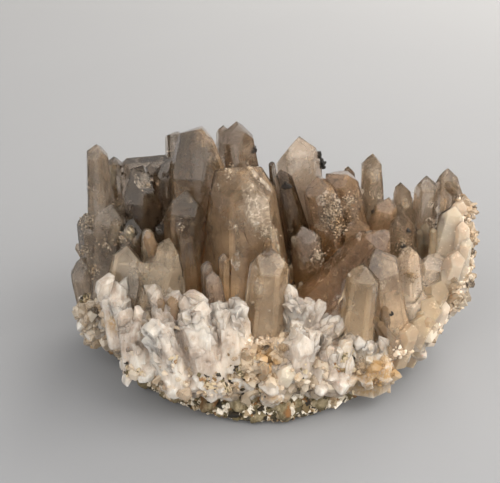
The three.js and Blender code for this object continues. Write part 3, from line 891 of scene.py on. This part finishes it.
def make_milky_crust():
    """The milky bed with its crystals, grown together and finely grooved."""
    rng = random.Random(37)
    rows = [shoot for row in MILKY for shoot in with_side_shoots(row, rng)]
    shoots = joined([mesh_from(solid_inside(crystal_planes(*row, SHOOT_GROWTH))) for row in rows], MM)
    lumps = lumps_on(BED_NODE, 900, 31, (2.0, 4.5), lambda p, n: n[2] < SIDEWAYS and BED_FOOT < p[2] < 16)
    mesh = remeshed([nodes[BED_NODE].data.copy(), shoots, lumps], BED_VOXEL)
    points = coordinates(mesh) / MM
    grooves = relief(points * (1, 1, 0.25), 1.5, seed=3, octaves=2) * 0.12
    lumpy = relief(points, 3.5, seed=5, octaves=2) * 0.1
    chips = np.minimum(relief(points, 1.3, seed=8, octaves=2) + 0.5, 0) * 0.6
    free = np.clip((points[:, 2] - 8.4) / 1.5, 0, 1)  # 0 where the bed meets the rock
    points += vertex_normals(mesh) * ((grooves + lumpy + chips) * free)[:, None]
    put_coordinates(mesh, points * MM)
    mesh = with_modifier(mesh, "DECIMATE", ratio=FACES_KEPT)
    mesh.shade_flat()
    new_piece("milky_crust", mesh, "milky_quartz", milky_quartz("milky quartz", stains), BED_NODE)


def shards_on(row, rng):
    """Thin crystals that lie along a milky crystal's faces and stand a little proud of them."""
    foot, tip, width = row[:3]
    axis, length = line(foot, tip)
    for _ in range(round(width * 4)):
        out = beside(axis, rng)
        thin = rng.uniform(0.6, 2.4)
        top = rng.uniform(0.45, 0.98) * length - 0.15 * width
        low = max(top - rng.uniform(3, 9), FOOT_DEPTH)
        start = Vector(foot) + out * width * 0.36 + axis * low
        end = Vector(foot) + out * width * rng.uniform(0.4, 0.5) + axis * top
        yield start, end, thin, rng.uniform(0, 60), rng.uniform(0, 0.5) * thin


def make_shards():
    rng = random.Random(83)
    rows = [shard for row in MILKY for shard in shards_on(row, rng)]
    finish = milky_quartz("milky shards", stains, clearness=0.5, ridge_light_and_shade=False)
    shards = worn_crystals(rows, wear=0.06, cell=4, roughness=0.05)
    new_piece("milky_shards", shards, "milky_quartz", finish)


def make_ice_chips():
    """Angular chips all over the milky crystals, roughly along them, and on the bed's rim."""
    rng = random.Random(101)
    placements = []
    for row in MILKY:
        foot, tip, width = row[:3]
        axis, length = line(foot, tip)
        for _ in range(round(0.4 * width * length)):
            out = beside(axis, rng)
            start = Vector(foot) + out * width * rng.uniform(0.3, 0.42)
            start += axis * rng.uniform(0.1, 0.9) * length
            direction = (axis + sway(rng, 0.25)).normalized()
            thin = rng.uniform(1.4, 3.4)
            tall = thin * rng.uniform(1.0, 2.2)
            placements.append(grain(rng, len(placements), start, direction, thin, tall))
    finish = milky_quartz("ice chips", stains, clearness=0.42, ridge_light_and_shade=False)
    new_piece("ice_chips", scattered(small_chips(9, 103, faces=10), placements), "milky_quartz", finish)
    placements = []
    for point, normal in surface_samples(BED_NODE, count=3200, seed=113):
        if not 9 < point[2] < 20 or normal[2] > SIDEWAYS:
            continue
        if inside_crystal(point) or in_milky_crystal(Vector(point)):
            continue
        size = rng.uniform(1.0, 2.8)
        direction = (Vector(normal) + jitter(rng, 0.6)).normalized()
        at = Vector(point) + Vector(normal) * 0.1 * size
        placements.append(grain(rng, len(placements), at, direction, size, size * rng.uniform(0.7, 1.3)))
    finish = druse_quartz("rim chips", (178, 160, 136), (242, 230, 212), 0.3, stains, dark_share=0.05)
    new_piece("rim_chips", scattered(small_chips(9, 127, faces=10), placements), "milky_quartz", finish)


def fine_mesh(bm, cell, roughness, seed):
    """A solid's mesh cut finely and given uneven faces and small chips, in millimetres."""
    cut_finely(bm, cell)
    bmesh.ops.triangulate(bm, faces=bm.faces[:])
    mesh = mesh_from(bm)
    points = coordinates(mesh)
    waves = relief(points, 5.0, seed, octaves=2) * roughness
    chips = np.minimum(relief(points, 1.6, seed + 9, octaves=2) + 0.55, 0) * 2.5 * roughness
    put_coordinates(mesh, points + vertex_normals(mesh) * (waves + chips)[:, None])
    return mesh


def joined_mesh(parts):
    """One mesh, in metres, of several in millimetres, which it uses up. Gentle bends look smooth."""
    mesh = joined(parts, MM)
    mesh.shade_smooth()
    mesh.set_sharp_from_angle(angle=math.radians(SMOOTH_BEND))
    return mesh


def worn_crystals(rows, wear, cell, roughness, segments=1):
    """One fine mesh, in metres, of crystals with worn edges."""
    parts = []
    for row in rows:
        bm = solid_inside(crystal_planes(*row))
        rounding = {"offset": wear, "segments": segments, "affect": "EDGES", "clamp_overlap": True}
        bmesh.ops.bevel(bm, geom=bm.edges[:], **rounding)
        parts.append(fine_mesh(bm, cell, roughness, round(10 * abs(row[1][0]))))
    return joined_mesh(parts)


def in_milky_crystal(point):
    """Whether a point lies in or close to a milky crystal of the bed."""
    return any(all((point - p).dot(n) < 0.25 for p, n in planes) for planes in milky_planes)


def bed_grains(name, finish, count, seed, sizes, shapes, hide):
    """Grains of quartz all over the bed. hide is the share of those on milky crystals that are left out."""
    rng = random.Random(seed)
    placements = []
    for i, (point, normal) in enumerate(surface_samples(BED_NODE, count, seed)):
        width = rng.uniform(*sizes)
        if point[2] < BED_FOOT or normal[2] < -0.3 or inside_crystal(point + 0.3 * width * normal):
            continue
        if point[2] > rng.uniform(12.5, 18.5) and rng.random() < hide and in_milky_crystal(Vector(point)):
            continue
        direction = (Vector(normal) + jitter(rng, 0.5, 0.4, 0.2)).normalized()
        sunk = Vector(point) - Vector(normal) * 0.15 * width
        placements.append(grain(rng, i, sunk, direction, width, width * rng.uniform(0.7, 1.2)))
    new_piece(name, scattered(shapes, placements), "milky_quartz", finish)


def make_druse():
    """Sugary grains, stubby points and chunks of quartz all over the bed."""
    finish = druse_quartz("druse", (196, 166, 128), (244, 230, 210), 0.25, stains, dark_share=0.07)
    bed_grains("druse", finish, 5200, 17, (0.6, 1.3), small_points(8, 5), hide=0.96)
    shapes = small_points(5, 6, length=1.2) + small_chips(8, 8)
    bed_grains("grains", finish, 3400, 18, (1.2, 2.3), shapes, hide=0.98)
    shapes = small_points(2, 3, length=1.0) + small_chips(8, 9)
    bed_grains("chunks", finish, 700, 19, (2.2, 3.6), shapes, hide=1.0)


def make_rock():
    """The host rock's rough crust."""
    lumps = lumps_on(ROCK_NODE, 700, 33, (2.0, 4.6), lambda p, n: p[2] > 2.4 and n[2] < 0.8)
    mesh = remeshed([nodes[ROCK_NODE].data.copy(), lumps], ROCK_VOXEL)
    points = coordinates(mesh) / MM
    rough = relief(points, 2.5, seed=13) * 0.3
    rough = rough + np.abs(relief(points, 1.2, seed=15, octaves=2)) * 0.4 - 0.2
    free = np.clip(points[:, 2] / 1.2, 0, 1)  # 0 at the flat underside
    points += vertex_normals(mesh) * (rough * free)[:, None]
    points[:, 2] = np.maximum(points[:, 2], 0)
    put_coordinates(mesh, points * MM)
    mesh.shade_smooth()
    new_piece("rock_crust", mesh, "host_rock", host_rock(rusty), ROCK_NODE)


def make_rock_grains():
    """Loose-looking grains all round the host rock, and grit low on the bed."""
    rng = random.Random(43)
    placements = []
    for i, (point, normal) in enumerate(surface_samples(ROCK_NODE, count=19000, seed=19)):
        size = rng.uniform(0.4, 1.2) * (1.8 if rng.random() < 0.1 else 1)
        if point[2] < 0.7 * size or abs(normal[2]) > 0.8:
            continue
        direction = jitter(rng).normalized()
        placements.append(grain(rng, i, point, direction, size, size * rng.uniform(0.6, 1)))
    finish = rock_grains("rock grains", (248, 240, 226))
    new_piece("rock_grains", scattered(small_chips(10, 7, faces=5), placements), "host_rock", finish)
    placements = grains_at(GRIT, 107, (0.4, 1.3), 0.8)
    finish = rock_grains("grit", (200, 182, 152))
    new_piece("grit", scattered(small_chips(6, 109, faces=7), placements), "host_rock", finish)


# Node: smoke per metre, screen colours of the haze at the tip and at the foot, share of haze.
LOOKS = {
    "main_columns": (68, (152, 133, 110), (209, 177, 136), 0.47),
    "left_pair": (113.05, (110, 98, 83), (122, 107, 87), 0.22),
    "left_flank": (52.7, (138, 126, 112), (184, 174, 163), 0.46),
    "left_shelf": (110.5, (98, 86, 70), (92, 79, 60), 0.25),
    "rear_peaks": (83.3, (132, 115, 96), (122, 100, 77), 0.28),
    "pale_blade": (35.7, (182, 170, 157), (160, 143, 124), 0.42),
    "slanted_dark": (140.25, (92, 77, 57), (96, 74, 49), 0.18),
    "dark_spike": (130.9, (84, 70, 56), (94, 73, 49), 0.2),
    "tan_prisms": (89.25, (157, 134, 108), (161, 122, 78), 0.38),
    "dark_centre": (93.5, (160, 145, 132), (150, 114, 72), 0.3),
    "leaning_prisms": (71.4, (145, 118, 91), (174, 139, 101), 0.2),
    "kite_faced": (37.4, (152, 138, 121), (222, 198, 168), 0.28),
    "front_right": (41.65, (160, 144, 122), (196, 177, 150), 0.4),
    "right_crest": (71.4, (156, 142, 124), (232, 210, 180), 0.25),
    "right_steps": (22.1, (226, 206, 184), (250, 238, 222), 0.46),
    "front_prism": (41.65, (172, 155, 132), (186, 168, 144), 0.36),
    "front_domes": (41.65, (180, 167, 148), (204, 188, 168), 0.37),
    "small_pair": (59.5, (160, 145, 132), (176, 155, 136), 0.32),
    "round_column": (59.5, (158, 145, 128), (160, 140, 114), 0.31),
    "back_end": (47.6, (180, 164, 145), (216, 194, 167), 0.38),
}
OTHER_LOOK = (77.35, (136, 119, 100), (160, 136, 103), 0.3)


def worn_node(name):
    """A CAD crystal's flat faces and worn edges, as a bmesh in millimetres."""
    mesh = nodes[name].data.copy()
    mesh = with_modifier(mesh, "DECIMATE", decimate_type="DISSOLVE", angle_limit=math.radians(1))
    bevel = {"width": EDGE_WEAR * MM, "segments": 2, "limit_method": "ANGLE"}
    mesh = with_modifier(mesh, "BEVEL", angle_limit=math.radians(12), **bevel)
    bm = bmesh.new()
    bm.from_mesh(mesh)
    bpy.data.meshes.remove(mesh)
    bmesh.ops.scale(bm, vec=(1 / MM, 1 / MM, 1 / MM), verts=bm.verts)
    return bm


def make_smoky_crystals():
    """Every smoky crystal, with worn edges and gently uneven faces in place of the CAD's plain ones."""
    for number, name in enumerate(crystal_names):
        smoke, tip, foot, haze = LOOKS.get(name, OTHER_LOOK)
        finish = smoky_quartz(name + " quartz", smoke, tip, foot, haze * FACE_HAZE, frost_and_highlights.get(name, ()))
        worn = worn_node(name)
        fine = fine_mesh(worn.copy(), cell=1.35, roughness=0.1, seed=20 + number)
        new_piece(name + "_fine", joined_mesh([fine]), slot_of[name], finish, name)
        core = fine_mesh(worn, cell=2.8, roughness=0.15, seed=60 + number)
        put_coordinates(core, coordinates(core) - vertex_normals(core) * HAZE_DEPTH)
        cloud = inner_haze(name + " haze", tip, foot, min(1.0, haze * CORE_HAZE), clouds_and_painted_light.get(name, ()))
        new_piece(name + "_haze", joined_mesh([core]), slot_of[name], cloud)


def photo_crystal(tip_u, tip_v, foot_u, foot_v, width):
    """Row of a small crystal between two pixels of the photograph. Its tip leans back a bit."""
    foot, normal, _ = seen_near(foot_u, foot_v)
    ray = ray_at(tip_u, tip_v)
    rise = (foot_v - tip_v) * PIXEL
    tip = EYE + ray * ((foot.y + LEAN_BACK * rise - EYE.y) / ray.y)
    return foot - normal * 0.7 * width, tip, width, 23 * tip_u % 60, 0


def make_young_crystals():
    """Slender smoky crystals that grow from the bed among the large ones."""
    rng = random.Random(59)
    rows = []
    for point, normal in surface_samples(BED_NODE, count=900, seed=23):
        start = Vector(point)
        if start.z < 13 or normal[2] < 0.1 or in_milky_crystal(start) or inside_crystal(start + UP):
            continue
        width = rng.uniform(1.4, 3.0)
        outward = Vector(normal) * rng.uniform(0.7, 1.1)
        direction = (sway(rng, 0.15, 1) + outward).normalized()
        tip = start + direction * width * rng.uniform(1.6, 3.6)
        if not inside_crystal(tip):
            rows.append((start - Vector(normal) * 0.3 * width, tip, width, rng.uniform(0, 60), 0))
    finish = smoky_quartz("young quartz", 110, (160, 140, 114), CREAM, 0.25)
    crystals = worn_crystals(rows[:YOUNG_COUNT], wear=0.1, cell=2.5, roughness=0.04)
    new_piece("young_crystals", crystals, "smoky_quartz", finish)


def make_small_crystals():
    """Small crystals that stand between the large ones."""
    pale = "pale_smoky_quartz"
    looks = {
        "white_points": ("milky_quartz", milky_quartz("white points")),
        "cream_points": (pale, smoky_quartz("cream points", 12, (252, 228, 204), (254, 234, 214), 0.5)),
        "wing_points": (pale, smoky_quartz("wing points", 60, (200, 182, 154), CREAM, 0.3)),
        "tan_points": ("smoky_quartz", smoky_quartz("tan points", 140, TAN, TAN, 0.4)),
        "clear_points": (pale, smoky_quartz("clear points", 30, CREAM, CREAM, 0.1)),
    }
    for name, rows in SMALL_CRYSTALS.items():
        rows = [photo_crystal(*row) for row in rows]
        crystals = worn_crystals(rows, wear=0.12, cell=1.2, roughness=0.05, segments=2)
        new_piece(name, crystals, *looks[name])


def grains_at(rows, seed, sizes, lift):
    """Grains on what is seen around some pixels of the photograph, thinning out from each."""
    rng = random.Random(seed)
    placements = []
    for u, v, radius, count in rows:
        for _ in range(count):
            spread = radius * min(1.6, abs(rng.gauss(0, 0.7)))
            angle = rng.uniform(0, 2 * math.pi)
            found = seen_at(u + spread * math.cos(angle), v + spread * math.sin(angle))
            if not found:
                continue
            point, normal, _ = found
            width = rng.uniform(*sizes)
            direction = (normal + jitter(rng, 0.6, 0.5, 0.2)).normalized()
            sunk = point - normal * 0.2 * width
            placements.append(grain(rng, len(placements), sunk, direction, width, width * lift))
    return placements


def make_sparkles():
    """Patches of tiny bright crystals on the faces of the large ones."""
    finish = druse_quartz("sparkling druse", (150, 126, 96), (226, 210, 188), 0.3)
    placements = grains_at(SPARKLES, 47, (0.15, 0.42), 0.9)
    new_piece("sparkles", scattered(small_points(8, 11), placements), "milky_quartz", finish)


def make_crumbs():
    """The crumbly rim of the pale wing."""
    finish = druse_quartz("crumbs", (240, 208, 172), (255, 244, 228), 0.45)
    placements = grains_at(CRUMBS, 67, (0.4, 1.3), 0.9)
    shapes = small_points(5, 71, length=1.1) + small_chips(5, 73)
    new_piece("crumbs", scattered(shapes, placements), "pale_smoky_quartz", finish)


def make_cracks():
    """Healed cracks that glint inside the smoky crystals."""
    rng = random.Random(89)
    places = []
    for number, name in enumerate(crystal_names):
        spread = nodes[name].dimensions.x * nodes[name].dimensions.z / MM**2
        samples = surface_samples(name, round(4 + spread / 25), 300 + number)
        places += [(Vector(p) - Vector(n) * rng.uniform(0.5, 1.8), 1.0) for p, n in samples]
    for spots in frost_and_highlights.values():
        for centre, radius, amount in spots:
            for _ in range(round(4 * radius * amount)):
                places.append((Vector(centre) + jitter(rng) * 0.6 * radius, 0.7))
    placements = []
    for centre, scale in places:
        direction = jitter(rng, 1, 0.7).normalized()
        width = rng.uniform(1.2, 5.0) * scale
        side = direction.orthogonal().normalized()
        across = direction.cross(side)
        if all(inside_crystal(centre + out * width * 0.55) for out in (side, -side, across, -across)):
            placements.append(grain(rng, len(placements), centre, direction, width, CRACK_GAP))
    sheets = scattered(small_chips(9, 97, faces=9), placements)
    new_piece("healed_cracks", sheets, "milky_quartz", healed_crack())


def make_specks():
    """Black mineral grains."""
    rng = random.Random(53)
    placements = []
    for u, v, size in SPECKS:
        point, normal, _ = seen_near(u, v)
        for _ in range(4):
            at = point + Vector((rng.gauss(0, 0.3), rng.gauss(0, 0.2), rng.gauss(0, 0.3))) * size
            width = size * rng.uniform(0.6, 1.0)
            placements.append(grain(rng, len(placements), at, normal, width, width))
    new_piece("specks", scattered(small_chips(6, 13), placements), "host_rock", black_mineral())


# Stage

# Lamps: place and size in metres, power, colour, and which of diffuse and glossy light it doesn't give.
LIGHTS = {
    "key": ((0.55, -0.15, 0.42), 0.8, 6.8, (1.0, 0.95, 0.88), "glossy"),
    "sheen": ((0.42, -0.1, 0.55), 0.9, 4.7, (1.0, 0.97, 0.93), "diffuse"),
    "back": ((0.25, 0.5, 0.4), 0.4, 3.6, (1.0, 0.94, 0.86), "glossy"),
    "front": ((0.0, -0.62, 0.6), 0.9, 4.6, (1.0, 0.95, 0.88), "glossy"),
    "fill": ((-0.5, -0.35, 0.35), 0.8, 2.5, (1.0, 0.97, 0.92), None),
}
SURROUNDING_LIGHT = 0.38


def make_stage():
    """Pale floor, soft surrounding light and the lamps."""
    bpy.ops.mesh.primitive_plane_add(size=6)
    floor = bpy.context.object
    floor.name = "floor"
    floor.data.materials.append(floor_paper())
    world = bpy.data.worlds.new("studio")
    world.use_nodes = True
    background = world.node_tree.nodes["Background"]
    background.inputs["Color"].default_value = (1.0, 0.98, 0.96, 1)
    background.inputs["Strength"].default_value = SURROUNDING_LIGHT
    scene.world = world
    for name, (place, size, power, colour, without) in LIGHTS.items():
        lamp = bpy.data.lights.new(name, "AREA")
        lamp.shape = "SQUARE"
        lamp.size = size
        lamp.energy = power
        lamp.color = colour
        light = bpy.data.objects.new(name, lamp)
        light.location = place
        light.rotation_euler = (AIM * MM - Vector(place)).to_track_quat("-Z", "Y").to_euler()
        if without:
            setattr(light, "visible_" + without, False)
        scene.collection.objects.link(light)


def make_camera():
    camera = bpy.data.objects.new("camera", bpy.data.cameras.new("camera"))
    camera.data.lens = LENS
    camera.data.sensor_width = SENSOR
    camera.data.clip_start = 0.01
    camera.data.clip_end = 20
    camera.location = EYE * MM
    camera.rotation_euler = AHEAD.to_track_quat("-Z", "Y").to_euler()
    scene.collection.objects.link(camera)
    scene.camera = camera


frost_and_highlights, clouds_and_painted_light = spots_on(FROST_AND_HIGHLIGHTS), spots_on(CLOUDS_AND_PAINTED_LIGHT)
stains = [spot for spots in spots_on(STAINS).values() for spot in spots]
rusty = [spot for spots in spots_on(RUST).values() for spot in spots]
milky_planes = [crystal_planes(*row) for row in MILKY]

make_camera()
make_stage()
make_smoky_crystals()
make_milky_crust()
make_shards()
make_ice_chips()
make_druse()
make_young_crystals()
make_small_crystals()
make_sparkles()
make_crumbs()
make_cracks()
make_specks()
make_rock()
make_rock_grains()

scene.view_settings.view_transform = "Standard"
